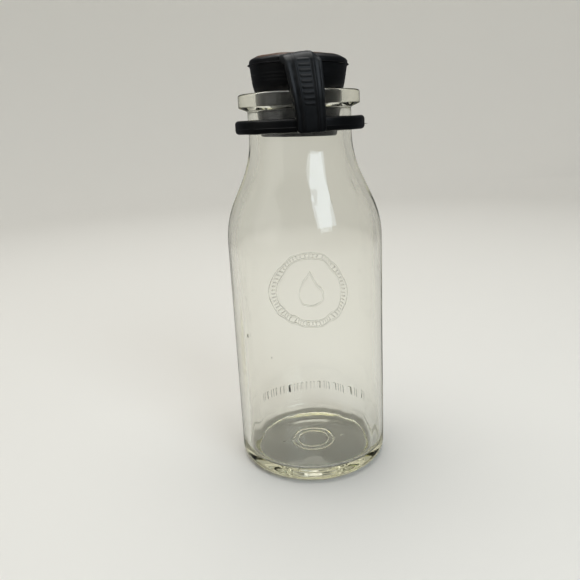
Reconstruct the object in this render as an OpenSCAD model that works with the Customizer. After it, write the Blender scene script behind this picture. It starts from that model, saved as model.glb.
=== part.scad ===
// Pint bottle of clear pressed glass, closed by a tapered rubber stopper that a
// strap ties to a ring round the neck. Sizes are in millimetres. +Z is up, the
// origin is the centre of the ring that the bottle stands on, and the strap is at -Y.

/* [Glass] */
// Height of the glass, from what it stands on to the top of the lip
glass_h = 182; // [150:1:220]
// Outer radius of the straight body
body_r = 37.5; // [31:0.5:45]
// Outer radius of the neck
neck_r = 24; // [20:0.5:29]
// Radius of the round over the shoulder
shoulder_r = 46; // [36:1:56]
// Radius of the hollow where the shoulder runs into the neck
throat_r = 48; // [38:1:58]
// Length of the straight slope between the round and the hollow
slope_len = 10.5; // [6:0.5:14]
// Radius of the heel, where the body turns under
heel_r = 5.5; // [4:0.5:7]

/* [Walls] */
// Thickness of the body's wall
wall = 3.2; // [2.5:0.1:4]
// Thickness of the neck's wall
neck_wall = 4; // [3:0.1:5]
// Height of the cavity's floor above what the bottle stands on
floor_h = 6; // [5:0.5:8]
// Radius of the cavity's bottom corner
cavity_corner_r = 4; // [3:0.5:6]
// Height of the hollow under the base, at its centre
push_up = 2.4; // [1.5:0.1:3]
// Width of the flat ring that the bottle stands on
bearing_w = 2; // [1.5:0.1:3]

/* [Lip] */
// Height of the lip's upright band
lip_h = 6; // [4.5:0.1:7.5]
// How far the lip stands out from the neck
lip_overhang = 4; // [3:0.1:5]
// Height of the slope under the lip
lip_slope_h = 1.4; // [1:0.1:2]
// Radius of the lip's outer edges
lip_round = 1.2; // [0.8:0.1:1.5]
// Depth of the tapered seat that the plug closes on
seat_h = 4; // [3:0.1:5]

/* [Relief on the glass] */
// Height of the raised lines and bars
relief_h = 0.4; // [0.2:0.1:0.6]
// Width of a raised line
line_w = 1; // [0.6:0.1:1.4]
// Radius of the round medallion
medallion_r = 22.5; // [15:0.5:26]
// Height of the medallion's centre
medallion_z = 77; // [60:1:85]
// Turn of the medallion and the bars from +Y, anticlockwise
relief_turn = -12; // [-180:1:180]
// Number of upright bars in the row at the foot of the wall
bar_count = 29; // [15:2:31]
// Length of each bar
bar_h = 5; // [3:0.5:7]
// Height of the bars' middle
bar_z = 18; // [14:1:24]

/* [Stopper] */
// Half angle of the plug's taper
plug_taper = 8.5; // [7:0.1:10.2]
// Radial clearance between the plug and its seat
seat_gap = 0.08; // [0.05:0.01:0.1]
// How far the plug reaches down into the mouth
plug_depth = 19.4; // [15:0.1:23.3]
// Height of the parting line above the lip
plug_rise = 11.7; // [9.5:0.1:14]
// Height of the head's rim above the parting line
head_h = 3.8; // [3:0.1:4.6]
// How far the moulding's flash stands out at the parting line
flash_w = 0.7; // [0.4:0.1:1]

/* [Neck ring] */
// Radial width of the ring
ring_w = 6; // [5:0.1:7.2]
// Height of the ring
ring_h = 6; // [5:0.1:7.2]
// Radius of the ring's edges
ring_round = 1.6; // [1:0.1:2]
// Radial running clearance between the ring and the neck
ring_gap = 0.05; // [0.03:0.01:0.1]
// Bare neck between the lip's slope and the ring
ring_space = 4; // [3:0.1:5]

/* [Strap] */
// Thickness of the strap
strap_t = 4.2; // [3.5:0.1:5]
// Clearance between the strap and the lip
strap_gap = 0.8; // [0.5:0.1:1.5]
// Width of the strap at the ring
strap_root_w = 12.6; // [10:0.1:15]
// Width of the strap at the stopper's head
strap_head_w = 16.4; // [14:0.1:18]
// How far the strap's top end stands to the left of its root
strap_lean = 2.4; // [0:0.1:4]
// Width of the raised border along each side of the strap
rail_w = 2; // [1.5:0.1:2.5]
// Depth of the panel between the borders
panel_depth = 0.6; // [0.3:0.1:0.9]
// Number of low cross ribs on the panel
rib_count = 7; // [5:1:9]

/* [Hidden] */
glass_colour = [0.82, 0.84, 0.76, 0.45];
rubber_colour = [0.06, 0.06, 0.07];
$fn = 96;
arc_step = 4;        // degrees between the points of an arc
eps = 0.01;
sink = 0.6;          // how deep relief is rooted in what carries it

// Heights that the pieces share
lip_z = glass_h - lip_h;
neck_top_z = lip_z - lip_slope_h;
ring_top_z = neck_top_z - ring_space;
ring_z = ring_top_z - ring_h;
neck_z = ring_z - ring_round / 2;
seat_z = glass_h - seat_h;
plug_z = glass_h - plug_depth;
flash_z = glass_h + plug_rise;
head_z = flash_z + head_h;

// Radii that the pieces share
bore_r = neck_r - neck_wall;
cavity_r = body_r - wall;
lip_r = neck_r + lip_overhang;
ring_bore_r = neck_r + ring_gap;
ring_r = ring_bore_r + ring_w;
flash_r = plug_radius(flash_z) + flash_w;

// Places of the strap, as distances from the axis
strap_in = lip_r + strap_gap;
strap_out = strap_in + strap_t;
lug_out = flash_r + 1;
lug_h = 6.8;
lug_z = head_z - lug_h;
rib_w = 1;
ribs_from = 0.3;     // part of the strap's height where the ribs start
ribs_to = 0.82;

// Radius of the plug's cone at height z
function plug_radius(z) = bore_r - seat_gap + tan(plug_taper) * (z - seat_z);

// Points of an arc round [x, y], from angle a to angle b
function arc(x, y, r, a, b) =
    let (n = ceil(abs(b - a) / arc_step))
    [for (i = [0:n]) [x, y] + r * [cos(a + (b - a) * i / n), sin(a + (b - a) * i / n)]];

// Points that round the corner c between a and b, starting d away from it
function bend(a, c, b, d) =
    let (p = c + d * (a - c) / norm(a - c), q = c + d * (b - c) / norm(b - c))
    [for (t = [0:0.125:1]) pow(1 - t, 2) * p + 2 * t * (1 - t) * c + pow(t, 2) * q];

// Slope, from upright, of the flat that joins two tangent arcs
function slope(drop, arcs) =
    acos((arcs - drop) / norm([arcs, slope_len])) - atan2(slope_len, arcs);

// Outline of a shoulder, from the body's radius up to the neck's
function shoulder(r_low, r_high, round_r, hollow_r) =
    let (
        a = slope(r_low - r_high, round_r + hollow_r),
        low_z = neck_z - (round_r + hollow_r) * sin(a) - slope_len * cos(a)
    )
    concat(
        arc(r_low - round_r, low_z, round_r, 0, a),
        arc(r_high + hollow_r, neck_z, hollow_r, 180 + a, 180)
    );

// Half of the glass's section, out along the bottom, up outside and down inside
module glass_section() {
    foot_r = body_r - heel_r;
    hollow_edge = foot_r - bearing_w;
    dome_r = (pow(hollow_edge, 2) + pow(push_up, 2)) / (2 * push_up);
    dome_a = asin(hollow_edge / dome_r);
    edge = lip_round / 2;
    mouth_r = bore_r + tan(plug_taper) * seat_h;
    polygon(concat(
        arc(0, push_up - dome_r, dome_r, 90, 90 - dome_a),
        arc(foot_r, heel_r, heel_r, -90, 0),
        shoulder(body_r, neck_r, shoulder_r, throat_r),
        [[neck_r, neck_top_z]],
        arc(lip_r - edge, lip_z + edge, edge, -60, 0),
        arc(lip_r - lip_round, glass_h - lip_round, lip_round, 0, 90),
        bend([lip_r, glass_h], [mouth_r, glass_h], [bore_r, seat_z], edge),
        [[bore_r, seat_z]],
        [for (p = [len(inner_shoulder()) - 1:-1:0]) inner_shoulder()[p]],
        arc(cavity_r - cavity_corner_r, floor_h + cavity_corner_r, cavity_corner_r, 0, -90),
        [[0, floor_h]]
    ));
}

function inner_shoulder() = shoulder(cavity_r, bore_r, shoulder_r - wall, throat_r + neck_wall);

// A plain drop with a round foot and a pointed top
module drop(r) {
    tip = 2.2 * r;
    touch = acos(r / tip);
    circle(r);
    polygon([[0, tip], r * [sin(touch), cos(touch)], r * [-sin(touch), cos(touch)]]);
}

// The medallion's lines, flat
module medallion_lines() {
    inner_r = 0.85 * medallion_r;
    drop_r = 0.3 * medallion_r;
    for (r = [medallion_r, inner_r])
        difference() {
            circle(r);
            circle(r - line_w);
        }
    translate([0, -drop_r / 2])
        difference() {
            drop(drop_r);
            drop(drop_r - line_w);
        }
}

// The medallion, raised on the body's round wall
module medallion() {
    intersection() {
        translate([0, 0, medallion_z - body_r])
            difference() {
                cylinder(h = 2 * body_r, r = body_r + relief_h);
                translate([0, 0, -eps])
                    cylinder(h = 2 * body_r + 2 * eps, r = body_r - sink);
            }
        translate([0, body_r + 1, medallion_z])
            rotate([90, 0, 0])
                linear_extrude(body_r)
                    medallion_lines();
    }
}

// A row of short upright bars round the back, low on the wall
module bars() {
    bar_r = 2 * relief_h;
    pitch = 4;
    for (i = [0:bar_count - 1])
        rotate([0, 0, 90 + pitch * (i - (bar_count - 1) / 2)])
            translate([body_r - bar_r + relief_h, 0, bar_z - bar_h / 2])
                cylinder(h = bar_h, r = bar_r, $fn = 24);
}

module glass_bottle() {
    color(glass_colour) {
        rotate_extrude()
            glass_section();
        rotate([0, 0, relief_turn]) {
            medallion();
            bars();
        }
    }
}

// The ring's section, with its edges rounded
module ring_section() {
    edge_r = ring_r - ring_round;
    polygon(concat(
        [[ring_bore_r, ring_z]],
        arc(edge_r, ring_z + ring_round, ring_round, -90, 0),
        arc(edge_r, ring_top_z - ring_round, ring_round, 0, 90),
        [[ring_bore_r, ring_top_z]]
    ));
}

// A block with its two front edges rounded, from y = -out to y = -in
module front_block(w, in, out, r) {
    translate([-w / 2, -out + r])
        square([w, out - in - r]);
    translate([-w / 2 + r, -out])
        square([w - 2 * r, out - in]);
    for (x = [-w / 2 + r, w / 2 - r])
        translate([x, -out + r])
            circle(r, $fn = 32);
}

module neck_ring() {
    lug_in = ring_r - ring_w / 2;
    color(rubber_colour) {
        rotate_extrude()
            ring_section();
        translate([0, 0, ring_z])
            linear_extrude(ring_h)
                front_block(strap_root_w, lug_in, strap_out, 1);
    }
}

// Side outline of the strap, as [distance from the axis, height], with its
// outer face set in by a depth
module strap_side(depth = 0) {
    out = strap_out - depth;
    top = head_z - depth;
    knee = [out, glass_h];
    crest = [lug_out + strap_t - depth, top];
    inner_knee = [strap_in, glass_h];
    polygon(concat(
        [[out, ring_top_z]],
        bend([out, ring_top_z], knee, crest, strap_t),
        bend(knee, crest, [lug_out, top], strap_t - depth - eps),
        [[lug_out, top], [lug_out, lug_z]],
        bend([lug_out, lug_z], inner_knee, [strap_in, ring_top_z], strap_t / 2),
        [[strap_in, ring_top_z]]
    ));
}

// Half width and middle of the strap at a part p of its height
function strap_half(p) = (strap_root_w + (strap_head_w - strap_root_w) * p) / 2;
function strap_mid(p) = -strap_lean * p;
function strap_height(p) = ring_top_z + (head_z - ring_top_z) * p;

// Front outline of the strap between two parts of its height, with its sides set in
module strap_front(inset = 0, from = 0, to = 1) {
    polygon([
        for (c = [[from, -1], [from, 1], [to, 1], [to, -1]])
            [strap_mid(c[0]) + c[1] * (strap_half(c[0]) - inset), strap_height(c[0])]
    ]);
}

// What lies inside both a side outline and a front outline
module strap_solid(depth = 0, inset = 0, from = 0, to = 1) {
    intersection() {
        rotate([90, 0, -90])
            translate([0, 0, -body_r])
                linear_extrude(2 * body_r)
                    strap_side(depth);
        rotate([90, 0, 0])
            linear_extrude(2 * body_r)
                strap_front(inset, from, to);
    }
}

module tether_strap() {
    rib_rise = panel_depth / 2;
    span = ribs_to - ribs_from;
    rib_part = rib_w / (head_z - ring_top_z);
    color(rubber_colour) {
        difference() {
            strap_solid();
            difference() {
                strap_solid(0, rail_w, 0.08, 0.92);
                strap_solid(panel_depth, 0, 0, 1);
            }
        }
        for (i = [0:rib_count - 1])
            let (p = ribs_from + span * i / (rib_count - 1))
            strap_solid(rib_rise, rail_w + 1, p, p + rib_part);
    }
}

// Half of the stopper's section: the plug, the flash and the domed head
module stopper_section() {
    edge = 1;
    flash_t = 0.5;
    rim_r = plug_radius(flash_z);
    shoulder_z = flash_z + head_h / 2;
    crown_r = rim_r - head_h;
    dome = 0.5;
    polygon(concat(
        [[0, plug_z]],
        bend([0, plug_z], [plug_radius(plug_z), plug_z], [rim_r, flash_z], edge),
        [
            [plug_radius(flash_z - flash_t), flash_z - flash_t],
            [flash_r, flash_z - flash_t / 2],
            [flash_r, flash_z],
            [rim_r, flash_z + flash_t / 2]
        ],
        bend([rim_r, flash_z], [rim_r, shoulder_z], [crown_r, head_z], edge),
        bend([rim_r, shoulder_z], [crown_r, head_z], [0, head_z + dome], edge),
        [[0, head_z + dome]]
    ));
}

module stopper() {
    lug_in = plug_radius(lug_z) - 6;
    color(rubber_colour) {
        rotate_extrude()
            stopper_section();
        translate([strap_mid(1), 0, lug_z])
            linear_extrude(lug_h)
                translate([-strap_head_w / 2, -lug_out])
                    square([strap_head_w, lug_out - lug_in]);
    }
}

glass_bottle();
neck_ring();
tether_strap();
stopper();
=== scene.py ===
"""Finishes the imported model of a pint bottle: clear pressed glass, closed by a tapered rubber
stopper that a strap ties to a ring round the neck. Sizes are in metres, angles in radians."""
import math

import bmesh
import bpy
from bpy.props import FloatProperty, FloatVectorProperty, IntProperty, PointerProperty
from bpy.props import StringProperty
from mathutils import Matrix, Vector, noise


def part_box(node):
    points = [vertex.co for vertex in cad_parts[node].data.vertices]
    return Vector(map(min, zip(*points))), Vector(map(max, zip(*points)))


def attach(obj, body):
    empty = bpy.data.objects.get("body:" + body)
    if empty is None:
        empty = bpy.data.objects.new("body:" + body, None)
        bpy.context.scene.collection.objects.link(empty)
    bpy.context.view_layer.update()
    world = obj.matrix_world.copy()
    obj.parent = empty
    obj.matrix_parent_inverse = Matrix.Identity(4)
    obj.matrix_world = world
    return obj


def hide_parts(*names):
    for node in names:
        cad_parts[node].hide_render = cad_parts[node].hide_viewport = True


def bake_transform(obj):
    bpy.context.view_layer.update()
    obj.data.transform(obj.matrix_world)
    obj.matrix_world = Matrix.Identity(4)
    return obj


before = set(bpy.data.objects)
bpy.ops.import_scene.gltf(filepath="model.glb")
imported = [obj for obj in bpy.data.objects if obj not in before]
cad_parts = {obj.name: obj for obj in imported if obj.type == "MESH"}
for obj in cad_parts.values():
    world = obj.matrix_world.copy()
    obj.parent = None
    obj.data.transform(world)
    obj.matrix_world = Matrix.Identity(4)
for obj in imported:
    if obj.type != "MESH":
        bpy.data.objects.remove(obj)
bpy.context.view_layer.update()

bl_info = {
    "name": "Pint bottle with a tethered stopper",
    "version": (1, 0, 0),
    "blender": (4, 5, 0),
    "location": "View3D > Sidebar > Bottle",
    "description": "Builds the glass, the rubber closure and the stage round the packed model",
    "category": "Object",
}

MM = 0.001
GLASS_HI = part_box("glass_bottle")[1]
RING_LO, RING_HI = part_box("neck_ring")
STRAP_LO, STRAP_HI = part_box("tether_strap")
STOPPER_LO, STOPPER_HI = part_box("stopper")
# Height that the lights point at
SHOULDER_Z = 0.13


def length(name, default, description):
    """A size in metres that a user may change."""
    return FloatProperty(
        name=name, description=description, default=default, unit="LENGTH", precision=5
    )


def colour(name, default, description):
    """A colour as an sRGB hex value that a user may change."""
    return StringProperty(name=name, description=description, default=default)


class GlassSettings(bpy.types.PropertyGroup):
    """Sizes and colours of the glass bottle."""

    body_r: length("Body radius", GLASS_HI.x, "Outer radius of the straight body")
    height: length("Height", GLASS_HI.z, "Height of the glass")
    neck_r: length("Neck radius", 24 * MM, "Outer radius of the neck")
    neck_z: length("Neck foot", RING_LO.z - 0.8 * MM, "Height where the straight neck starts")
    shoulder_r: length("Shoulder round", 46 * MM, "Radius of the round over the shoulder")
    throat_r: length("Throat hollow", 48 * MM, "Radius of the hollow under the neck")
    slope_len: length("Slope", 10.5 * MM, "Length of the straight slope between them")
    heel_r: length("Heel radius", 5.5 * MM, "Radius of the heel")
    bearing_w: length("Bearing ring", 2 * MM, "Width of the ring that the bottle stands on")
    push_up: length("Push-up", 2.4 * MM, "Height of the hollow under the base")
    wall: length("Wall", 3.2 * MM, "Thickness of the body's wall")
    neck_wall: length("Neck wall", 4 * MM, "Thickness of the neck's wall")
    floor_h: length("Floor", 6 * MM, "Height of the cavity's floor")
    corner_r: length("Corner", 4 * MM, "Radius of the cavity's bottom corner")
    lip_h: length("Lip height", 6 * MM, "Height of the lip's band")
    lip_out: length("Lip overhang", 4 * MM, "How far the lip stands out from the neck")
    lip_slope: length("Lip slope", 1.4 * MM, "Height of the slope under the lip")
    lip_round: length("Lip round", 1.2 * MM, "Radius of the lip's outer edges")
    mouth_round: length("Mouth round", 0.9 * MM, "Size of the round inside the mouth's edge")
    relief_h: length("Relief", 0.4 * MM, "Height of the raised lines and bars")
    line_w: length("Line width", 1 * MM, "Width of a raised line")
    medallion_r: length("Medallion radius", 22.5 * MM, "Radius of the round medallion")
    medallion_z: length("Medallion height", 77 * MM, "Height of the medallion's centre")
    bar_z: length("Bar middle", 18 * MM, "Height of the middle of the upright bars")
    bar_h: length("Bar length", 5 * MM, "Length of each upright bar")
    bar_count: IntProperty(name="Bars", description="Number of upright bars in the row", default=29)
    bar_pitch: FloatProperty(
        name="Bar pitch",
        description="Angle from one bar to the next",
        default=math.radians(4),
        subtype="ANGLE",
    )
    bar_w: length("Bar width", 1.4 * MM, "Width of each upright bar")
    step_h: length("Base step", 1.1 * MM, "Height of the step inside the bearing ring")
    step_w: length("Base step width", 1.6 * MM, "Width of the step inside the bearing ring")
    marked_r: length("Marked base", 18 * MM, "Radius of the part of the base that carries marks")
    mark_in_r: length("Inner mark", 8 * MM, "Radius of the inner ring moulded under the base")
    mark_out_r: length("Outer mark", 11 * MM, "Radius of the outer ring moulded under the base")
    dot_x: length("Dots", 16 * MM, "How far the two dots under the base are from its centre")
    relief_turn: FloatProperty(
        name="Relief turn",
        description="Turn of the relief from the back, anticlockwise",
        default=math.radians(-12),
        subtype="ANGLE",
    )
    outer_wave: length("Outer ripple", 0.05 * MM, "Height of the ripple outside")
    inner_wave: length("Inner ripple", 0.28 * MM, "Height of the ripple inside")
    tint: colour("Glass tint", "#FDFDFB", "Colour that each face of the glass gives to light")
    depth_tint: colour("Depth tint", "#F1EC62", "Colour that thick glass turns light to")


class RubberSettings(bpy.types.PropertyGroup):
    """Sizes and colours of the ring, the strap and the stopper."""

    plug_taper: FloatProperty(
        name="Plug taper",
        description="Half angle of the plug's taper",
        default=math.radians(8.5),
        subtype="ANGLE",
    )
    flash_w: length("Flash", 0.7 * MM, "How far the flash stands out at the parting line")
    head_h: length("Head height", 3.8 * MM, "Height of the head above the parting line")
    grip_r: length("Grip radius", 19.88 * MM, "Radius that the mouth squeezes the plug to")
    head_tilt: FloatProperty(
        name="Head tilt",
        description="How far the stopper leans to the right",
        default=math.radians(1.9),
        subtype="ANGLE",
    )
    ring_w: length("Ring width", 6 * MM, "Radial width of the neck ring")
    ring_round: length("Ring round", 1.6 * MM, "Radius of the ring's edges")
    strap_t: length("Strap thickness", 4.2 * MM, "Thickness of the strap")
    strap_root_w: length("Strap root", 12.6 * MM, "Width of the strap at the ring")
    strap_head_w: length("Strap head", 16.4 * MM, "Width of the strap at the stopper")
    strap_lean: length("Strap lean", 2.4 * MM, "How far the strap's top stands to the left")
    rib_count: IntProperty(name="Ribs", description="Number of cross ribs on the strap", default=9)
    black: colour("Rubber", "#050607", "Colour of clean rubber")
    # Grey of the bloom, which is also laid on towards the top as painted sheen of the light from
    # above
    bloom_and_top_sheen: colour("Bloom", "#303233", "Grey bloom on old rubber")
    perished: colour("Perished rubber", "#63442E", "Brown of rubber that light has aged")


class StageSettings(bpy.types.PropertyGroup):
    """The camera, the lights and the floor."""

    camera_away: length("Camera distance", 285.3 * MM, "Level distance from the bottle's axis")
    camera_up: length("Camera height", 169.8 * MM, "Height above the floor")
    camera_side: FloatProperty(
        name="Camera side",
        description="Turn of the camera round the bottle, to the left of the strap",
        default=math.radians(9.2),
        subtype="ANGLE",
    )
    camera_aim: FloatProperty(
        name="Camera aim",
        description="Turn of the camera to the left of the bottle's axis",
        default=math.radians(1.71),
        subtype="ANGLE",
    )
    camera_tilt: FloatProperty(
        name="Camera tilt",
        description="How far the camera looks down",
        default=math.radians(16.06),
        subtype="ANGLE",
    )
    camera_roll: FloatProperty(
        name="Camera roll",
        description="Roll of the camera",
        default=math.radians(-2.96),
        subtype="ANGLE",
    )
    lens: FloatProperty(name="Lens", description="Focal length on a 36 mm sensor", default=36.51)
    floor_colour: colour("Floor", "#E8E6E0", "Colour of the floor and the backdrop")
    # The grey of the backdrop's front and sides is painted shade of a darker room
    side_shade_colour: colour("Wall", "#C0C0BC", "Colour that the backdrop turns to at the sides")
    window_colour: FloatVectorProperty(
        name="Window light",
        description="Colour of the main light",
        subtype="COLOR",
        default=(0.78, 0.89, 1.0),
        min=0,
        max=1,
    )
    window_power: FloatProperty(
        name="Window power", description="Power of the main light", default=3.4, unit="POWER"
    )
    sky_power: FloatProperty(
        name="Sky power", description="Power of the light from above", default=15, unit="POWER"
    )
    fill_power: FloatProperty(
        name="Fill power", description="Power of the light from the left", default=0.8, unit="POWER"
    )
    floor_r: length("Floor radius", 1, "Radius of the flat floor")
    cove_r: length("Cove radius", 0.5, "Radius of the curve from the floor up to the backdrop")
    backdrop_h: length("Backdrop height", 2.2, "Height of the backdrop")


# Outlines -----------------------------------------------------------------------------------


def arc(x, z, r, a, b, step):
    """Points of an arc round (x, z), from angle a to angle b, no further apart than step."""
    n = max(2, math.ceil(abs(b - a) * r / step))
    angles = [a + (b - a) * i / n for i in range(n + 1)]
    return [(x + r * math.cos(t), z + r * math.sin(t)) for t in angles]


def bend(a, c, b, d, n=6):
    """Points that round the corner c between a and b, starting d away from it."""
    a, c, b = Vector(a), Vector(c), Vector(b)
    p = c + (a - c).normalized() * d
    q = c + (b - c).normalized() * d
    points = [p.lerp(c, i / n).lerp(c.lerp(q, i / n), i / n) for i in range(n + 1)]
    return [tuple(point) for point in points]


def straight(a, b, step):
    """Points inside the straight stretch from a to b, no further apart than step."""
    a, b = Vector(a), Vector(b)
    n = max(1, math.ceil((b - a).length / step))
    return [tuple(a.lerp(b, i / n)) for i in range(1, n)]


def smooth(t):
    """A smooth step from 0 to 1 as t goes from 0 to 1."""
    t = min(max(t, 0), 1)
    return t * t * (3 - 2 * t)


class Shoulder:
    """The S of a wall: a round over the shoulder, a straight slope and a hollow below the neck."""

    def __init__(self, low_r, high_r, round_r, hollow_r, slope_len, neck_z):
        arcs = round_r + hollow_r
        drop = low_r - high_r
        self.angle = math.acos((arcs - drop) / math.hypot(arcs, slope_len))
        self.angle -= math.atan2(slope_len, arcs)
        sine, cosine = math.sin(self.angle), math.cos(self.angle)
        self.low_r, self.high_r = low_r, high_r
        self.round_r, self.hollow_r = round_r, hollow_r
        self.low_z = neck_z - arcs * sine - slope_len * cosine
        self.slope_z = self.low_z + round_r * sine
        self.hollow_z = neck_z - hollow_r * sine
        self.neck_z = neck_z

    def points(self, step):
        """Outline points from the body up to the neck."""
        a = self.angle
        low = arc(self.low_r - self.round_r, self.low_z, self.round_r, 0, a, step)
        hollow_x = self.high_r + self.hollow_r
        high = arc(hollow_x, self.neck_z, self.hollow_r, math.pi + a, math.pi, step)
        return low + straight(low[-1], high[0], step) + high

    def radius(self, z):
        """Radius of the wall at height z."""
        if z <= self.low_z:
            return self.low_r
        if z < self.slope_z:
            rise = z - self.low_z
            return self.low_r - self.round_r + math.sqrt(self.round_r**2 - rise**2)
        if z < self.hollow_z:
            start = self.low_r - self.round_r * (1 - math.cos(self.angle))
            return start - (z - self.slope_z) * math.tan(self.angle)
        if z < self.neck_z:
            rise = self.neck_z - z
            return self.high_r + self.hollow_r - math.sqrt(self.hollow_r**2 - rise**2)
        return self.high_r


def lathe(outline, steps, closed=False):
    """Turns an outline of (radius, height) points round the Z axis into a closed shell."""
    bm = bmesh.new()
    verts = [bm.verts.new((r, 0, z)) for r, z in outline]
    pairs = list(zip(verts, verts[1:]))
    if closed:
        pairs.append((verts[-1], verts[0]))
    edges = [bm.edges.new(pair) for pair in pairs]
    bmesh.ops.spin(
        bm,
        geom=verts + edges,
        cent=(0, 0, 0),
        axis=(0, 0, 1),
        angle=math.tau,
        steps=steps,
        use_merge=True,
    )
    bmesh.ops.remove_doubles(bm, verts=bm.verts, dist=1e-7)
    bmesh.ops.recalc_face_normals(bm, faces=bm.faces)
    return bm


def finish_piece(name, bm, material, sharp=math.radians(40)):
    """Makes an object of a bmesh, shades it smooth and gives it its material."""
    mesh = bpy.data.meshes.new(name)
    bm.to_mesh(mesh)
    bm.free()
    mesh.shade_smooth()
    mesh.set_sharp_from_angle(angle=sharp)
    mesh.materials.append(material)
    piece = bpy.data.objects.new(name, mesh)
    bpy.context.scene.collection.objects.link(piece)
    return piece


# Materials ----------------------------------------------------------------------------------


def linear(text):
    """The linear RGBA of an sRGB hex value."""
    parts = [int(text[i : i + 2], 16) / 255 for i in (1, 3, 5)]
    return [p / 12.92 if p <= 0.04045 else ((p + 0.055) / 1.055) ** 2.4 for p in parts] + [1]


def add(tree, kind, inputs=None, **settings):
    """Adds a node with its settings, and fills or links its inputs."""
    node = tree.nodes.new(kind)
    for name, value in settings.items():
        setattr(node, name, value)
    for name, value in (inputs or {}).items():
        if isinstance(value, bpy.types.NodeSocket):
            tree.links.new(value, node.inputs[name])
        else:
            node.inputs[name].default_value = value
    return node


def new_material(name):
    """An empty node material and its output node."""
    material = bpy.data.materials.new(name)
    material.use_nodes = True
    material.node_tree.nodes.clear()
    output = material.node_tree.nodes.new("ShaderNodeOutputMaterial")
    return material, material.node_tree, output


def pressed_glass(settings):
    """Soda-lime glass, pressed in an iron mould: clear, faintly rippled, yellow-green where it is
    thick, with a little scuffing where bottles rub together in a crate."""
    material, tree, output = new_material("Pressed soda-lime glass")
    place = add(tree, "ShaderNodeTexCoord").outputs["Object"]
    # Mould ripple with a spacing of about 7 mm, drawn out up the wall
    drawn = add(tree, "ShaderNodeMapping", {"Vector": place, "Scale": (1, 1, 0.3)}).outputs[0]
    ripple = add(tree, "ShaderNodeTexNoise", {"Vector": drawn, "Scale": 140, "Detail": 1})
    bump = add(
        tree,
        "ShaderNodeBump",
        {"Height": ripple.outputs["Fac"], "Strength": 0.2, "Distance": 0.05 * MM},
    ).outputs[0]
    # Scuffs about 1 mm long that break up the gloss
    grain = add(tree, "ShaderNodeTexNoise", {"Vector": place, "Scale": 900, "Detail": 3})
    scuffs = add(
        tree,
        "ShaderNodeMapRange",
        {
            "Value": grain.outputs["Fac"],
            "From Min": 0.62,
            "From Max": 0.75,
            "To Min": 0.0,
            "To Max": 0.12,
        },
    ).outputs[0]
    shader = add(
        tree,
        "ShaderNodeBsdfPrincipled",
        {
            "Base Color": linear(settings.tint),
            "Roughness": scuffs,
            "IOR": 1.52,
            "Transmission Weight": 1.0,
            "Normal": bump,
        },
    )
    depth = add(
        tree, "ShaderNodeVolumeAbsorption", {"Color": linear(settings.depth_tint), "Density": 5.0}
    )
    tree.links.new(shader.outputs[0], output.inputs["Surface"])
    tree.links.new(depth.outputs[0], output.inputs["Volume"])
    return material


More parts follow.
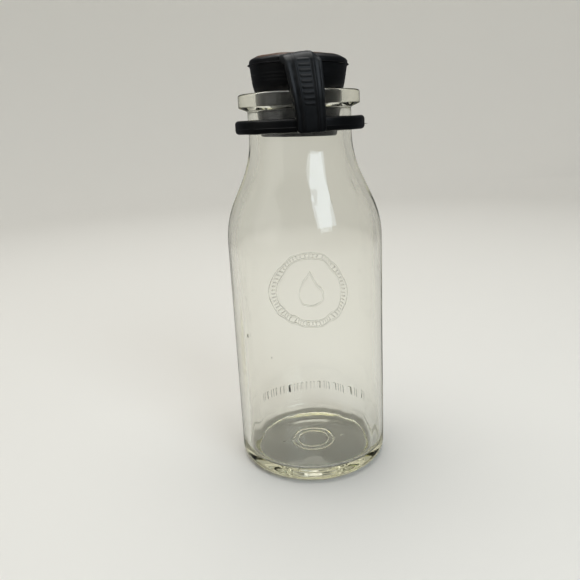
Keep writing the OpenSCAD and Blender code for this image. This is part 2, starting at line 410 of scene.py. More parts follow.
def moulded_rubber(name, settings, bloom_and_top_sheen, rim_z=None):
    """Black natural rubber, compression moulded: satin, with fine mould grain, grey bloom in
    patches and, above rim_z, brown patches where light has perished it. The grey also grows towards
    the top as a painted sheen of the light from above, up to the share bloom_and_top_sheen."""
    material, tree, output = new_material(name)
    place = add(tree, "ShaderNodeTexCoord").outputs["Object"]
    # Bloom in patches of about 4 mm
    patches = add(
        tree, "ShaderNodeTexNoise", {"Vector": place, "Scale": 260, "Detail": 4, "Roughness": 0.6}
    ).outputs["Fac"]
    share = add(
        tree,
        "ShaderNodeMapRange",
        {"Value": patches, "From Min": 0.3, "From Max": 0.65, "To Min": 0.25, "To Max": 1.0},
    ).outputs[0]
    height = add(tree, "ShaderNodeSeparateXYZ", {"Vector": place}).outputs["Z"]
    # Painted sheen: the grey grows with height, from nothing at the ring's foot up to the strap's
    # top, standing in for rubber that faces up and catches the light from above
    rise = add(
        tree,
        "ShaderNodeMapRange",
        {"Value": height, "From Min": RING_LO.z, "From Max": STRAP_HI.z, "To Max": bloom_and_top_sheen},
    ).outputs[0]
    share = add(tree, "ShaderNodeMath", {0: share, 1: rise}, operation="MULTIPLY").outputs[0]
    base = add(
        tree,
        "ShaderNodeMix",
        {"Factor": share, "A": linear(settings.black), "B": linear(settings.bloom_and_top_sheen)},
        data_type="RGBA",
    )
    skin = base.outputs["Result"]
    if rim_z is not None:
        near = add(
            tree,
            "ShaderNodeMapRange",
            {"Value": height, "From Min": rim_z - 0.4 * MM, "From Max": rim_z + 0.5 * MM},
        ).outputs[0]
        flat = add(tree, "ShaderNodeMapping", {"Vector": place, "Scale": (1, 1, 0)}).outputs[0]
        away = add(tree, "ShaderNodeVectorMath", {0: flat}, operation="LENGTH").outputs["Value"]
        edge = add(
            tree,
            "ShaderNodeMapRange",
            {"Value": away, "From Min": 16.5 * MM, "From Max": 18.5 * MM},
        ).outputs[0]
        near = add(tree, "ShaderNodeMath", {0: near, 1: edge}, operation="MULTIPLY").outputs[0]
        # Brown patches of about 9 mm
        spots = add(tree, "ShaderNodeTexNoise", {"Vector": place, "Scale": 110, "Detail": 3})
        aged = add(
            tree,
            "ShaderNodeMapRange",
            {"Value": spots.outputs["Fac"], "From Min": 0.45, "From Max": 0.58},
        ).outputs[0]
        both = add(tree, "ShaderNodeMath", {0: near, 1: aged}, operation="MULTIPLY").outputs[0]
        skin = add(
            tree,
            "ShaderNodeMix",
            {"Factor": both, "A": skin, "B": linear(settings.perished)},
            data_type="RGBA",
        ).outputs["Result"]
    # Mould grain is about 0.1 mm; it is drawn at 0.4 mm so that it shows
    grain = add(tree, "ShaderNodeTexNoise", {"Vector": place, "Scale": 2500, "Detail": 2})
    uneven = add(
        tree, "ShaderNodeMath", {0: grain.outputs["Fac"], 1: patches}, operation="MULTIPLY"
    ).outputs[0]
    bump = add(
        tree, "ShaderNodeBump", {"Height": uneven, "Strength": 0.5, "Distance": 0.12 * MM}
    ).outputs[0]
    gloss = add(
        tree,
        "ShaderNodeMapRange",
        {"Value": patches, "From Min": 0.3, "From Max": 0.7, "To Min": 0.3, "To Max": 0.48},
    ).outputs[0]
    shader = add(
        tree,
        "ShaderNodeBsdfPrincipled",
        {
            "Base Color": skin,
            "Roughness": gloss,
            "IOR": 1.52,
            "Specular IOR Level": 0.2,
            "Normal": bump,
        },
    )
    tree.links.new(shader.outputs[0], output.inputs["Surface"])
    return material


# Glass --------------------------------------------------------------------------------------


def glass_walls(s):
    """The outer and the inner shoulder of the glass."""
    outer = Shoulder(s.body_r, s.neck_r, s.shoulder_r, s.throat_r, s.slope_len, s.neck_z)
    inner = Shoulder(
        s.body_r - s.wall,
        s.neck_r - s.neck_wall,
        s.shoulder_r - s.wall,
        s.throat_r + s.neck_wall,
        s.slope_len,
        s.neck_z,
    )
    return outer, inner


def glass_outline(s, outer, inner):
    """Section of the glass: out along the bottom, up the outside and down the inside."""
    coarse, fine, finest = 3 * MM, 1 * MM, 0.6 * MM
    foot_r = s.body_r - s.heel_r
    edge_r = foot_r - s.bearing_w
    up = math.pi / 2
    # The hollow underneath: a low dome, then a short steep step down to the bearing ring
    dome_h = s.push_up - s.step_h
    dome_out = edge_r - s.step_w
    dome_r = (dome_out**2 + dome_h**2) / (2 * dome_h)
    dome_z = s.push_up - dome_r
    marked = up - math.asin(s.marked_r / dome_r)
    under = arc(0, dome_z, dome_r, up, marked, finest)[:-1]
    under += arc(0, dome_z, dome_r, marked, up - math.asin(dome_out / dome_r), coarse)
    step_top = (dome_out + 0.7 * MM, s.step_h)
    under += bend(under[-1], step_top, (edge_r, 0), finest)[1:]
    under += [(edge_r, 0)]
    heel = arc(foot_r, s.heel_r, s.heel_r, -up, 0, 0.8 * MM)
    # Rows close together where the wall carries relief
    bar_reach = s.bar_h / 2 + fine
    medallion_reach = s.medallion_r + fine
    stops = [s.heel_r, s.bar_z - bar_reach, s.bar_z + bar_reach]
    stops += [s.medallion_z - medallion_reach, s.medallion_z + medallion_reach, outer.low_z]
    wall = []
    for i, (low, high) in enumerate(zip(stops, stops[1:])):
        step = fine if i % 2 else coarse
        wall += straight((s.body_r, low), (s.body_r, high), step) + [(s.body_r, high)]
    lip_r = s.neck_r + s.lip_out
    lip_z = s.height - s.lip_h
    bore_r = s.neck_r - s.neck_wall
    mouth = (bore_r + 0.4 * MM, s.height)
    edge = s.lip_round / 2
    neck_top = (s.neck_r, lip_z - s.lip_slope)
    band_foot = (lip_r - edge * 0.5, lip_z)
    lip = bend((s.neck_r, s.neck_z), neck_top, band_foot, 0.8 * MM)
    lip += arc(lip_r - edge, lip_z + edge, edge, math.radians(-60), 0, 0.2 * MM)
    lip += arc(lip_r - s.lip_round, s.height - s.lip_round, s.lip_round, 0, up, 0.25 * MM)
    lip += bend((lip_r, s.height), mouth, (bore_r, s.neck_z), s.mouth_round)
    neck = straight((s.neck_r, s.neck_z), lip[0], 1.5 * MM)
    bore = straight(lip[-1], (bore_r, s.neck_z), coarse)
    cavity_r = s.body_r - s.wall
    down = straight((cavity_r, inner.low_z), (cavity_r, s.floor_h + s.corner_r), coarse)
    corner = arc(cavity_r - s.corner_r, s.floor_h + s.corner_r, s.corner_r, 0, -up, 0.5 * MM)
    floor = straight(corner[-1], (0, s.floor_h), coarse) + [(0, s.floor_h)]
    outside = under + heel + wall[:-1] + outer.points(2.2 * MM) + neck + lip
    return outside + bore + inner.points(2.5 * MM)[::-1] + down + corner + floor


def drop_distance(u, v, r):
    """Distance from (u, v) to the outline of a drop whose foot has radius r, below 0 inside."""
    tip = 2.2 * r
    touch = math.acos(r / tip)
    side = Vector((math.sin(touch), math.cos(touch)))
    point = Vector((abs(u), v))
    along = point.dot(Vector((-side.y, side.x)))
    if along <= 0:
        return point.length - r
    if along < math.sqrt(tip**2 - r**2):
        return point.dot(side) - r
    return (point - Vector((0, tip))).length


def medallion_gap(s, u, v):
    """Distance from (u, v) to the nearest line of the medallion."""
    away = math.hypot(u, v)
    inner_r = 0.85 * s.medallion_r
    drop_r = 0.3 * s.medallion_r
    half = s.line_w / 2
    gaps = [abs(away - (s.medallion_r - half)), abs(away - (inner_r - half))]
    gaps.append(abs(drop_distance(u, v + drop_r / 2, drop_r) + half))
    # Short ticks between the two rings
    tick_count = 60
    turn = math.atan2(v, u) * tick_count / math.tau
    across = abs(turn - round(turn)) * math.tau * away / tick_count
    middle = (s.medallion_r + inner_r - s.line_w) / 2
    past_end = max(abs(away - middle) - 0.7 * MM, 0)
    gaps.append(math.hypot(across, past_end) + 0.1 * MM)
    return min(gaps)


def wall_relief(s, p):
    """Height of the relief at a point on the outside of the wall."""
    local = Matrix.Rotation(-s.relief_turn, 3, "Z") @ p
    if local.y < 0:
        return 0
    height = 0
    if abs(p.z - s.medallion_z) < s.medallion_r + s.line_w:
        gap = medallion_gap(s, local.x, p.z - s.medallion_z)
        height = s.relief_h * smooth(1 - (gap - 0.15 * MM) / (0.4 * s.line_w))
    # Each bar is a round ridge with round ends
    half = s.bar_w / 2
    past_end = max(abs(p.z - s.bar_z) - s.bar_h / 2 + 0.5 * MM, 0)
    if past_end < half:
        turn = math.atan2(local.x, local.y) / s.bar_pitch
        nearest = round(turn)
        if abs(nearest) <= (s.bar_count - 1) / 2:
            gap = math.hypot((turn - nearest) * s.bar_pitch * s.body_r, past_end)
            height = max(height, s.relief_h * smooth((half - gap) / (0.8 * half)))
    return height


def refine_relief(bm, s):
    """Cuts the wall's faces finely where they carry relief."""
    near = 1.1 * MM

    def carries(face):
        p = face.calc_center_median()
        if math.hypot(p.x, p.y) < s.body_r - 0.5 * MM:
            return False
        local = Matrix.Rotation(-s.relief_turn, 3, "Z") @ p
        if local.y < 0:
            return False
        v = p.z - s.medallion_z
        if abs(v) < s.medallion_r + near and medallion_gap(s, local.x, v) < near:
            return True
        span = s.bar_pitch * s.bar_count / 2
        near_bars = abs(p.z - s.bar_z) < s.bar_h / 2 + 0.6 * MM
        return near_bars and abs(math.atan2(local.x, local.y)) < span

    for face in bm.faces:
        face.tag = carries(face)
    edges = [edge for edge in bm.edges if any(face.tag for face in edge.link_faces)]
    bmesh.ops.subdivide_edges(bm, edges=edges, cuts=3, use_grid_fill=True)


def ripple(p, spacing, stretch=1.0):
    """Smooth unevenness from -1 to 1 with this spacing, drawn out along Z by stretch."""
    return noise.noise(Vector((p.x, p.y, p.z / stretch)) / spacing)


def shape_glass(bm, s, outer, inner):
    """Moves the wall's points to their relief and their ripple, and ripples the floor."""
    for vert in bm.verts:
        p = vert.co
        r = math.hypot(p.x, p.y)
        if r < 1e-6:
            continue
        inside = r < (outer.radius(p.z) + inner.radius(p.z)) / 2
        if p.z < s.push_up + 0.1 * MM and r < s.marked_r + 2 * MM:
            dot_gap = math.hypot(abs(p.x) - s.dot_x, p.y)
            gap = min(abs(r - s.mark_in_r), abs(r - s.mark_out_r), dot_gap)
            p.z -= s.relief_h * smooth(1.1 - gap / (0.9 * MM))
            continue
        if p.z < s.heel_r and r < s.body_r - s.wall - s.corner_r:
            continue
        if inside and p.z < s.floor_h + 0.2 * MM:
            p.z += s.inner_wave * 0.3 * ripple(p, 16 * MM)
            continue
        fade = smooth((p.z - s.heel_r) / (6 * MM)) * smooth((s.neck_z - p.z) / (14 * MM))
        if inside:
            wave = ripple(p, 14 * MM, 3) + 0.45 * ripple(p, 5 * MM, 9)
            new_r = inner.radius(p.z) if p.z > s.floor_h + s.corner_r else r
            new_r += s.inner_wave * wave * fade
        else:
            wave = ripple(p + Vector((0.1, 0, 0)), 16 * MM, 2.5)
            wave += 0.5 * ripple(p + Vector((0, 0.1, 0)), 5 * MM, 7)
            new_r = outer.radius(p.z) if s.heel_r < p.z < s.neck_z else r
            new_r += s.outer_wave * wave * fade + wall_relief(s, p)
        p.x *= new_r / r
        p.y *= new_r / r


def add_seeds(bm, s):
    """Puts a few small gas bubbles inside the wall, each drawn out upwards."""
    middle = s.body_r - s.wall / 2
    shoulder_middle = middle - 7.6 * MM
    drawn_out = 1.8
    # Angle, radius, height and half width of each bubble, in degrees and millimetres
    seeds = (
        (-151, middle, 72.5, 0.55),
        (-74, shoulder_middle, 134, 0.25),
        (20, middle, 92, 0.3),
        (118, middle, 40, 0.35),
        (-30, middle, 101, 0.22),
    )
    for angle, r, z, half in seeds:
        turn = math.radians(angle)
        place = Matrix.Translation((r * math.cos(turn), r * math.sin(turn), z * MM))
        size = Matrix.Diagonal((half * MM, half * MM, drawn_out * half * MM, 1))
        made = bmesh.ops.create_icosphere(bm, subdivisions=2, radius=1, matrix=place @ size)
        faces = list({face for vert in made["verts"] for face in vert.link_faces})
        bmesh.ops.reverse_faces(bm, faces=faces)


class BOTTLE_OT_glass(bpy.types.Operator):
    """Make the glass bottle, with its relief, its ripple and its bubbles"""

    bl_idname = "bottle.glass"
    bl_label = "Glass bottle"

    def execute(self, context):
        s = context.scene.bottle_glass
        outer, inner = glass_walls(s)
        bm = lathe(glass_outline(s, outer, inner), 260)
        refine_relief(bm, s)
        shape_glass(bm, s, outer, inner)
        add_seeds(bm, s)
        piece = finish_piece("pressed_glass_bottle", bm, pressed_glass(s))
        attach(piece, "bottle")
        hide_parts("glass_bottle")
        return {"FINISHED"}


# Rubber -------------------------------------------------------------------------------------


def plug_radius(s, z):
    """Radius of the plug's cone at height z."""
    rim_r = STOPPER_HI.x - s.flash_w
    flash_z = STRAP_HI.z - s.head_h
    return rim_r - math.tan(s.plug_taper) * (flash_z - z)


def stopper_outline(s):
    """Section of the stopper: plug, flash and head."""
    plug_z = STOPPER_LO.z
    head_z = STRAP_HI.z
    top_z = STOPPER_HI.z
    flash_z = head_z - s.head_h
    foot_r = plug_radius(s, plug_z)
    rim_r = plug_radius(s, flash_z)
    crown_r = rim_r - s.head_h
    shoulder_z = flash_z + s.head_h / 2
    # A shallow dish under the plug
    dish = [(0, plug_z + 0.6 * MM), (foot_r * 0.6, plug_z + 0.5 * MM), (foot_r - 3 * MM, plug_z)]
    foot = bend(dish[-1], (foot_r, plug_z), (rim_r, flash_z), 1 * MM)
    # The mouth squeezes the plug from here up to its own edge
    grip_z = flash_z - (rim_r - s.grip_r) / math.tan(s.plug_taper)
    lip_z = GLASS_HI.z
    free_z = lip_z + 3 * MM
    gripped = (s.grip_r, lip_z - 0.6 * MM)
    free = (plug_radius(s, free_z), free_z)
    side = [(s.grip_r, grip_z)] + bend((s.grip_r, grip_z), gripped, free, 0.8 * MM)
    side += bend(gripped, free, (rim_r, flash_z), 1 * MM)
    # Three fine mould lines round the plug, just above the mouth
    first, gap, half, stand = 4.4 * MM, 1.4 * MM, 0.25 * MM, 0.07 * MM
    for i in range(3):
        line_z = lip_z + first + i * gap
        r = plug_radius(s, line_z)
        side += [(r - 0.04 * MM, line_z - half), (r + stand, line_z), (r, line_z + half)]
    low_flash = flash_z - 0.55 * MM
    flash = [
        (plug_radius(s, low_flash) - 0.05 * MM, low_flash),
        (rim_r + s.flash_w * 0.7, flash_z - 0.3 * MM),
        (rim_r + s.flash_w, flash_z - 0.15 * MM),
        (rim_r + s.flash_w * 0.9, flash_z),
        (rim_r + 0.1 * MM, flash_z + 0.12 * MM),
    ]
    rim = bend(flash[-1], (rim_r, shoulder_z), (crown_r, head_z), 0.9 * MM)
    # The top is a low dome with a shallow ring moulded into it
    dome_h = top_z - head_z
    dome_r = (crown_r**2 + dome_h**2) / (2 * dome_h)
    ring_r = 12 * MM
    ring_half = 0.8 * MM

    def dome(low_r, high_r):
        """Points of the dome from radius high_r in to radius low_r."""
        start, end = math.acos(high_r / dome_r), math.acos(low_r / dome_r)
        return arc(0, top_z - dome_r, dome_r, start, end, 1 * MM)

    outer_dome = dome(ring_r + ring_half, crown_r)
    inner_dome = dome(0, ring_r - ring_half)
    groove_z = outer_dome[-1][1] - 0.35 * MM
    groove_half = 0.3 * MM
    groove = [(ring_r + groove_half, groove_z), (ring_r - groove_half, groove_z)]
    # The rounded crown takes the place of the dome's first points
    outer_dome = outer_dome[3:]
    crown = bend((rim_r, shoulder_z), (crown_r, head_z), outer_dome[0], 1.4 * MM)
    return dish + foot + side + flash + rim + crown + outer_dome + groove + inner_dome


def shape_stopper(bm, s):
    """Makes the flash ragged and the head a little uneven, as a hand-trimmed moulding is."""
    flash_z = STRAP_HI.z - s.head_h
    for vert in bm.verts:
        p = vert.co
        r = math.hypot(p.x, p.y)
        past = r - plug_radius(s, flash_z)
        ragged = 0
        if abs(p.z - flash_z) < 0.5 * MM and past > 0.2 * MM:
            ragged = (0.35 * ripple(p, 2.5 * MM) + 0.3 * ripple(p, 9 * MM)) * past / r
        if p.z > flash_z:
            p.z += 0.25 * MM * ripple(p, 9 * MM) * smooth((p.z - flash_z) / (2 * MM))
        p.x *= 1 + ragged
        p.y *= 1 + ragged
    seat = Vector((0, 0, GLASS_HI.z - 2 * MM))
    bmesh.ops.rotate(bm, verts=bm.verts, cent=seat, matrix=Matrix.Rotation(s.head_tilt, 3, "Y"))


class BOTTLE_OT_stopper(bpy.types.Operator):
    """Make the tapered rubber stopper with its flash and its head"""

    bl_idname = "bottle.stopper"
    bl_label = "Stopper"

    def execute(self, context):
        s = context.scene.bottle_rubber
        bm = lathe(stopper_outline(s), 180)
        long_edges = [e for e in bm.edges if abs(e.verts[0].co.z - e.verts[1].co.z) > 3 * MM]
        bmesh.ops.subdivide_edges(bm, edges=long_edges, cuts=5)
        shape_stopper(bm, s)
        rim_z = STRAP_HI.z - 0.6 * MM
        rubber = moulded_rubber("Black moulded rubber, perished at the rim", s, 0.12, rim_z)
        piece = finish_piece("rubber_stopper", bm, rubber)
        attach(piece, "closure")
        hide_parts("stopper")
        return {"FINISHED"}


def ring_outline(s):
    """Closed section of the neck ring, with a fine parting line on its outside."""
    bore_r = RING_HI.x - s.ring_w
    edge_r = RING_HI.x - s.ring_round
    low, high = RING_LO.z, RING_HI.z
    part_z = low + (high - low) * 0.36
    line_out, line_foot, line_top = 0.12 * MM, 0.22 * MM, 0.08 * MM
    up = math.pi / 2
    outline = bend((bore_r, high), (bore_r, low), (edge_r, low), 0.5 * MM)
    outline += arc(edge_r, low + s.ring_round, s.ring_round, -up, 0, 0.3 * MM)[:-1]
    outline += [
        (RING_HI.x, part_z - line_foot),
        (RING_HI.x + line_out, part_z - line_top),
        (RING_HI.x + line_out, part_z + line_top),
        (RING_HI.x, part_z + line_foot),
    ]
    outline += arc(edge_r, high - s.ring_round, s.ring_round, 0, up, 0.3 * MM)
    outline += bend((edge_r, high), (bore_r, high), (bore_r, low), 0.5 * MM)
    return outline, part_z


def add_flash_tag(bm, angle, z, reach):
    """Adds the torn tag of flash that stands out from the ring's parting line."""
    base_r = RING_HI.x - 0.4 * MM
    half_w, half_t = 0.9 * MM, 0.16 * MM
    size = Matrix.Diagonal((half_w, half_t, 1, 1))
    turn = Matrix.Rotation(angle, 4, "Z") @ Matrix.Translation((base_r + reach / 2, 0, z))
    lie = Matrix.Rotation(math.pi / 2, 4, "Y") @ Matrix.Rotation(math.pi / 2, 4, "Z")
    bmesh.ops.create_cone(
        bm,
        cap_ends=True,
        segments=12,
        radius1=1,
        radius2=0.2,
        depth=reach,
        matrix=turn @ lie @ size,
    )


class BOTTLE_OT_ring(bpy.types.Operator):
    """Make the rubber ring round the neck"""

    bl_idname = "bottle.ring"
    bl_label = "Neck ring"

    def execute(self, context):
        s = context.scene.bottle_rubber
        outline, part_z = ring_outline(s)
        bm = lathe(outline, 180, closed=True)
        middle = (RING_LO.z + RING_HI.z) / 2
        for vert in bm.verts:
            p = vert.co
            if math.hypot(p.x, p.y) > RING_HI.x - s.ring_w / 2:
                p.z = middle + (p.z - middle) * (1 + 0.05 * ripple(p, 12 * MM))
        add_flash_tag(bm, math.radians(-9), part_z, 2.2 * MM)
        rubber = moulded_rubber("Black moulded rubber of the ring", s, 0.15)
        piece = finish_piece("rubber_neck_ring", bm, rubber)
        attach(piece, "ring")
        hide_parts("neck_ring")
        return {"FINISHED"}


def strap_section(s):
    """Closed section of the strap at unit width: x from -1 to 1, y its depth below the face."""
    thick = s.strap_t
    across = 56
    face = [(2 * i / across - 1, 0) for i in range(across + 1)]
    back = [(1, thick - 1.2 * MM), (0.95, thick - 0.3 * MM), (0.85, thick), (0.4, thick)]
    return face + back + [(-x, y) for x, y in reversed(back)]


def hump(x, middle, half):
    """A smooth hump of height 1 at middle that fades out at half on each side."""
    return smooth(1 - abs(x - middle) / half)


def face_depth(x):
    """Depth of the strap's face at x from -1 to 1: a panel, and two ridges on each side."""
    a = abs(x)
    panel, ridge, low_ridge, fall, corner = 0.42 * MM, 0.42 * MM, 0.2 * MM, 0.25 * MM, 1.5 * MM
    depth = panel - ridge * hump(a, 0.48, 0.13) - low_ridge * hump(a, 0.86, 0.14)
    depth += fall * smooth((a - 0.5) / 0.3)
    edge = max((a - 0.88) / 0.12, 0)
    return depth + corner * (1 - math.sqrt(max(1 - edge**2, 0)))


def end_round(part, least):
    """Scale of the strap near an end: least at the end, where part is 0, and 1 from part 1 on."""
    part = min(part, 1)
    return math.sqrt(max(1 - (1 - part) ** 2, 0)) * (1 - least) + least


def straight_bar(section, reach, steps):
    """A straight closed bar with this section across X and Y, along Z."""
    bm = bmesh.new()
    verts = [bm.verts.new((x, y, 0)) for x, y in section]
    ring = [bm.edges.new(pair) for pair in zip(verts, verts[1:] + verts[:1])]
    for _ in range(steps):
        made = bmesh.ops.extrude_edge_only(bm, edges=ring)["geom"]
        tops = {g for g in made if isinstance(g, bmesh.types.BMVert)}
        lines = [g for g in made if isinstance(g, bmesh.types.BMEdge)]
        ring = [edge for edge in lines if all(vert in tops for vert in edge.verts)]
        bmesh.ops.translate(bm, verts=list(tops), vec=(0, 0, reach / steps))
    bmesh.ops.holes_fill(bm, edges=[edge for edge in bm.edges if edge.is_boundary], sides=0)
    bmesh.ops.recalc_face_normals(bm, faces=bm.faces)
    return bm


class StrapPath:
    """The line that the middle of the strap's face follows: distance from the axis, height."""

    def __init__(self, s):
        out = -STRAP_LO.y
        top = STRAP_HI.z
        # It rises from the ring, leans in at the knee, turns over the crest and lies on the head
        foot = (out, RING_LO.z)
        knee = (out, RING_HI.z + 11.4 * MM)
        crest = (STOPPER_HI.x + 5.8 * MM, top - 0.8 * MM)
        over = (15.5 * MM, top + 0.75 * MM)
        end = (11 * MM, top - 0.4 * MM)
        points = [foot] + bend(foot, knee, crest, 5 * MM, 16)
        points += bend(knee, crest, over, 4.5 * MM, 24) + [over, end]
        self.points = [Vector(p) for p in points]
        self.ends = [0]
        for a, b in zip(self.points, self.points[1:]):
            self.ends.append(self.ends[-1] + (b - a).length)
        self.length = self.ends[-1]

    def at(self, distance):
        """Point of the line this far along it."""
        distance = min(max(distance, 0), self.length)
        i = max(k for k, end in enumerate(self.ends[:-1]) if end <= distance)
        part = (distance - self.ends[i]) / (self.ends[i + 1] - self.ends[i])
        return self.points[i].lerp(self.points[i + 1], part)

    def normal(self, distance):
        """Direction from the face into the strap, averaged over a short stretch."""
        reach = 0.8 * MM
        along = self.at(distance + reach) - self.at(distance - reach)
        along.normalize()
        return Vector((-along.y, along.x))


def shape_strap(bm, s, path):
    """Bends the straight bar along its line, with its widths, its relief and its rounded ends."""
    low, high = RING_HI.z, STRAP_HI.z
    pitch = 0.66 * (high - low) / (s.rib_count - 1)
    first = low + 0.2 * (high - low)
    rib_half, rib_h = 0.34, 0.34 * MM
    middle = s.strap_t / 2
    for vert in bm.verts:
        x, depth, distance = vert.co
        point = path.at(distance)
        into = path.normal(distance)
        part = min(max((point.y - low) / (high - low), 0), 1)
        half_w = (s.strap_root_w + (s.strap_head_w - s.strap_root_w) * part) / 2
        # Where the strap turns over the head its sides droop and its relief fades
        over = smooth((point.y - high + 5 * MM) / (5 * MM))
        if depth == 0:
            depth = face_depth(x) * (1 - 0.6 * over)
            rib = (point.y - first) / pitch
            if abs(x) < rib_half and -0.4 < rib < s.rib_count - 0.6:
                off = abs(rib - round(rib)) * pitch
                height = smooth(1.6 - off / (0.4 * MM)) * smooth((rib_half - abs(x)) / 0.08)
                depth -= rib_h * height * (1 - over)
        left_droop = 1 * MM * max(0.2 - x, 0)
        right_droop = 10 * MM * max(x - 0.45, 0) ** 2
        depth += over * (left_droop + right_droop)
        # Rounded end at the root, and a narrow end on top of the head
        root = end_round(distance / (1.6 * MM), 0.88)
        tail = end_round((path.length - distance) / (6 * MM), 0.25)
        depth = middle + (depth - middle) * root
        spot = point + into * depth
        lean = -s.strap_lean * part
        vert.co = (x * half_w * root * tail + lean, -spot.x, spot.y)


class BOTTLE_OT_strap(bpy.types.Operator):
    """Make the ribbed strap from the ring up to the stopper's head"""

    bl_idname = "bottle.strap"
    bl_label = "Strap"

    def execute(self, context):
        s = context.scene.bottle_rubber
        path = StrapPath(s)
        bm = straight_bar(strap_section(s), path.length, 220)
        shape_strap(bm, s, path)
        # The strap's top is painted greyest, up to 0.7, as sheen of the light from above on its
        # upper part
        rubber = moulded_rubber("Black moulded rubber of the strap", s, 0.7)
        piece = finish_piece("rubber_strap", bm, rubber, math.radians(60))
        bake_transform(piece)
        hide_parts("tether_strap")
        return {"FINISHED"}


# Stage --------------------------------------------------------------------------------------


def area_light(name, place, size, power, tint):
    """A soft rectangular light at place that points at the bottle's shoulder."""
    lamp = bpy.data.lights.new(name, "AREA")
    lamp.shape = "RECTANGLE"
    lamp.size, lamp.size_y = size
    lamp.energy = power
    lamp.color = tint
    light = bpy.data.objects.new(name, lamp)
    light.location = place
    aim = Vector((0, 0, SHOULDER_Z)) - Vector(place)
    light.rotation_euler = aim.to_track_quat("-Z", "Y").to_euler()
    light.visible_camera = False
    bpy.context.scene.collection.objects.link(light)


def towards(azimuth, elevation, distance):
    """The point this far from the bottle's shoulder. Azimuth is to the right of the strap."""
    a, e = math.radians(azimuth), math.radians(elevation)
    flat = distance * math.cos(e)
    return (flat * math.sin(a), -flat * math.cos(a), SHOULDER_Z + distance * math.sin(e))


def paper(settings):
    """Matte background paper, which gives no gloss. It is pale behind the bottle and near the
    floor, and is painted grey in front and round the sides as painted shade of a darker room, so
    that the rims of the glass draw dark."""
    material, tree, output = new_material("Matte background paper")
    place = add(tree, "ShaderNodeTexCoord").outputs["Object"]
    parts = add(tree, "ShaderNodeSeparateXYZ", {"Vector": place}).outputs
    behind = add(
        tree, "ShaderNodeMapRange", {"Value": parts["Y"], "From Min": -0.4, "From Max": 1.0}
    ).outputs[0]
    low = add(
        tree, "ShaderNodeMapRange", {"Value": parts["Z"], "From Min": 0.12, "From Max": 0.02}
    ).outputs[0]
    pale = add(tree, "ShaderNodeMath", {0: behind, 1: low}, operation="MAXIMUM").outputs[0]
    # Painted shade: grey on the paper in front of the bottle and round its sides, above the floor
    tone = add(
        tree,
        "ShaderNodeMix",
        {"Factor": pale, "A": linear(settings.side_shade_colour), "B": linear(settings.floor_colour)},
        data_type="RGBA",
    ).outputs["Result"]
    shader = add(tree, "ShaderNodeBsdfPrincipled", {"Base Color": tone, "Roughness": 0.9})
    tree.links.new(shader.outputs[0], output.inputs["Surface"])
    return material


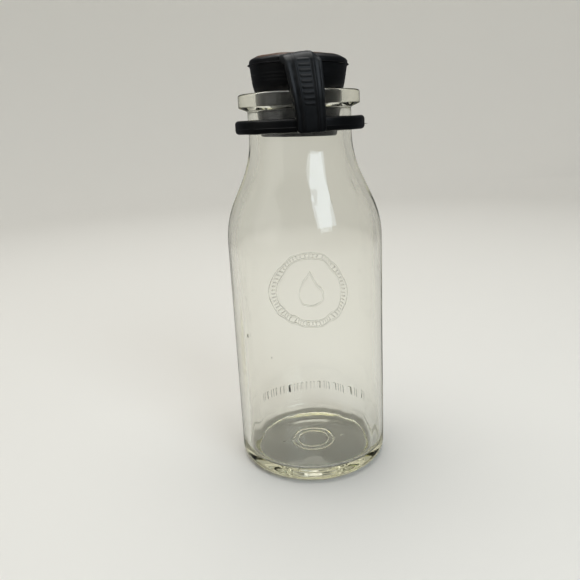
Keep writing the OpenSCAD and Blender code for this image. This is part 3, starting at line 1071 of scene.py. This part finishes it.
class BOTTLE_OT_stage(bpy.types.Operator):
    """Make the camera, the lights and the floor with its curved backdrop"""

    bl_idname = "bottle.stage"
    bl_label = "Stage"

    def execute(self, context):
        s = context.scene.bottle_stage
        camera = bpy.data.objects.new("camera", bpy.data.cameras.new("camera"))
        camera.data.sensor_width = 36
        camera.data.lens = s.lens
        camera.data.clip_start = 0.01
        side = -math.pi / 2 - s.camera_side
        camera.location = (
            s.camera_away * math.cos(side),
            s.camera_away * math.sin(side),
            s.camera_up,
        )
        turn = Matrix.Rotation(s.camera_aim - s.camera_side, 4, "Z")
        tilt = Matrix.Rotation(math.pi / 2 - s.camera_tilt, 4, "X")
        camera.rotation_euler = (turn @ tilt @ Matrix.Rotation(s.camera_roll, 4, "Z")).to_euler()
        context.scene.collection.objects.link(camera)
        context.scene.camera = camera

        white = paper(s)
        cove = arc(s.floor_r, s.cove_r, s.cove_r, -math.pi / 2, 0, 0.04)
        cove.append((s.floor_r + s.cove_r, s.backdrop_h))
        for name, outline in (("floor", [(0, 0), (s.floor_r / 2, 0), cove[0]]), ("backdrop", cove)):
            mesh = bpy.data.meshes.new(name)
            bm = lathe(outline, 96)
            bm.to_mesh(mesh)
            bm.free()
            mesh.shade_smooth()
            mesh.materials.append(white)
            sheet = bpy.data.objects.new(name, mesh)
            context.scene.collection.objects.link(sheet)
            # Black flags keep the paper out of every reflection, as in a studio
            sheet.visible_glossy = False

        warm = (1, 0.99, 0.97)
        area_light("window", towards(24.8, 30, 1.0), (0.5, 0.54), s.window_power, s.window_colour)
        area_light("sky", (-0.1, 0.2, 1.3), (1.4, 1.4), s.sky_power, warm)
        area_light("fill", towards(-70, 18, 1.1), (0.8, 0.8), s.fill_power, warm)

        world = bpy.data.worlds.new("world")
        world.use_nodes = True
        air = world.node_tree.nodes["Background"].inputs
        air["Color"].default_value = (0.6, 0.62, 0.65, 1)
        air["Strength"].default_value = 0.15
        context.scene.world = world
        context.scene.view_settings.view_transform = "Standard"
        # Light runs along inside thick glass by many internal reflections
        context.scene.cycles.max_bounces = 24
        context.scene.cycles.glossy_bounces = 16
        context.scene.cycles.transmission_bounces = 24
        return {"FINISHED"}


# Add-on -------------------------------------------------------------------------------------


class VIEW3D_PT_bottle(bpy.types.Panel):
    """The sizes of the bottle and the steps that make it"""

    bl_label = "Pint bottle"
    bl_space_type = "VIEW_3D"
    bl_region_type = "UI"
    bl_category = "Bottle"

    def draw(self, context):
        scene = context.scene
        for group in (scene.bottle_glass, scene.bottle_rubber, scene.bottle_stage):
            column = self.layout.column()
            for name in group.bl_rna.properties.keys():
                if name not in ("name", "rna_type"):
                    column.prop(group, name)
        for step in STEPS:
            self.layout.operator(step.bl_idname)


STEPS = (BOTTLE_OT_stage, BOTTLE_OT_glass, BOTTLE_OT_ring, BOTTLE_OT_strap, BOTTLE_OT_stopper)
CLASSES = (GlassSettings, RubberSettings, StageSettings, *STEPS, VIEW3D_PT_bottle)


def register():
    for cls in CLASSES:
        bpy.utils.register_class(cls)
    bpy.types.Scene.bottle_glass = PointerProperty(type=GlassSettings)
    bpy.types.Scene.bottle_rubber = PointerProperty(type=RubberSettings)
    bpy.types.Scene.bottle_stage = PointerProperty(type=StageSettings)


def unregister():
    del bpy.types.Scene.bottle_stage
    del bpy.types.Scene.bottle_rubber
    del bpy.types.Scene.bottle_glass
    for cls in reversed(CLASSES):
        bpy.utils.unregister_class(cls)


def main():
    register()
    bpy.ops.bottle.stage()
    bpy.ops.bottle.glass()
    bpy.ops.bottle.ring()
    bpy.ops.bottle.strap()
    bpy.ops.bottle.stopper()


if __name__ == "__main__":
    main()
